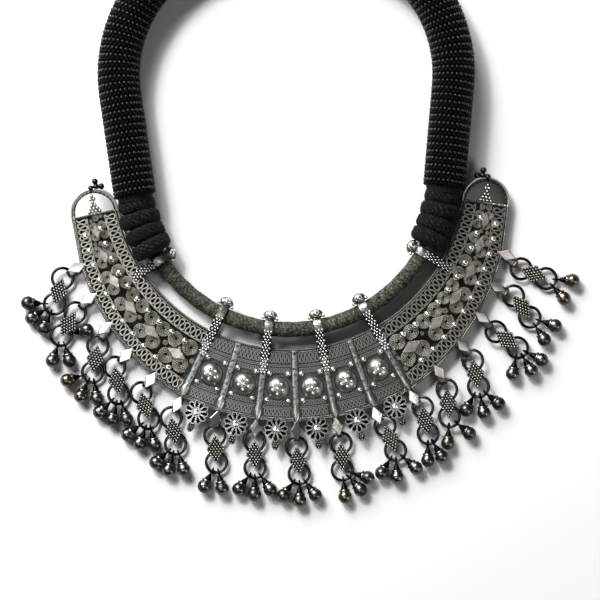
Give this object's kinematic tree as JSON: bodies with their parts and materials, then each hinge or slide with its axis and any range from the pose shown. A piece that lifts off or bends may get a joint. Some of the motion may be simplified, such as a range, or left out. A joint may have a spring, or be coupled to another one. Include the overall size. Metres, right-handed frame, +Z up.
{
  "type": "torc necklace",
  "caption": "Crescent silver collar slung from a wrapped cord, with beaded ropes that meet in a barrel clasp and a fringe of linked bell drops, lying flat.",
  "frame": {"origin": "centre of the necklace's box in X and Y, on the surface that it lies on", "axes": "+X to the right end of the collar as seen from above, +Y from the collar to the clasp, +Z up out of the face"},
  "size_m": [0.224, 0.2369, 0.0176],
  "materials": {
    "collar_silver": "oxidised silver, worn bright on raised parts",
    "cord_cotton": "dark green-grey cotton thread, matt",
    "wrap_cotton": "black cotton yarn, matt",
    "seed_beads": "glossy black glass seed beads",
    "clasp_silver": "plain silver, satin",
    "link_silver": "dark oxidised silver, polished on the raised grains",
    "bell_silver": "dark oxidised silver, polished"
  },
  "bodies": {
    "root": {"collar": "collar_silver", "core_cord": "cord_cotton", "wrap_left": "wrap_cotton", "wrap_right": "wrap_cotton", "rope_left": "seed_beads", "rope_right": "seed_beads", "clasp": "clasp_silver", "link_01": "link_silver", "link_02": "link_silver", "link_03": "link_silver", "link_04": "link_silver", "link_05": "link_silver", "link_06": "link_silver", "link_07": "link_silver", "link_08": "link_silver", "link_09": "link_silver", "link_10": "link_silver", "link_11": "link_silver", "link_12": "link_silver", "link_13": "link_silver", "link_14": "link_silver", "link_15": "link_silver", "link_16": "link_silver", "link_17": "link_silver", "bells_01": "bell_silver", "bells_02": "bell_silver", "bells_03": "bell_silver", "bells_04": "bell_silver", "bells_05": "bell_silver", "bells_06": "bell_silver", "bells_07": "bell_silver", "bells_08": "bell_silver", "bells_09": "bell_silver", "bells_10": "bell_silver", "bells_11": "bell_silver", "bells_12": "bell_silver", "bells_13": "bell_silver", "bells_14": "bell_silver", "bells_15": "bell_silver", "bells_16": "bell_silver", "bells_17": "bell_silver"}
  },
  "joints": []
}
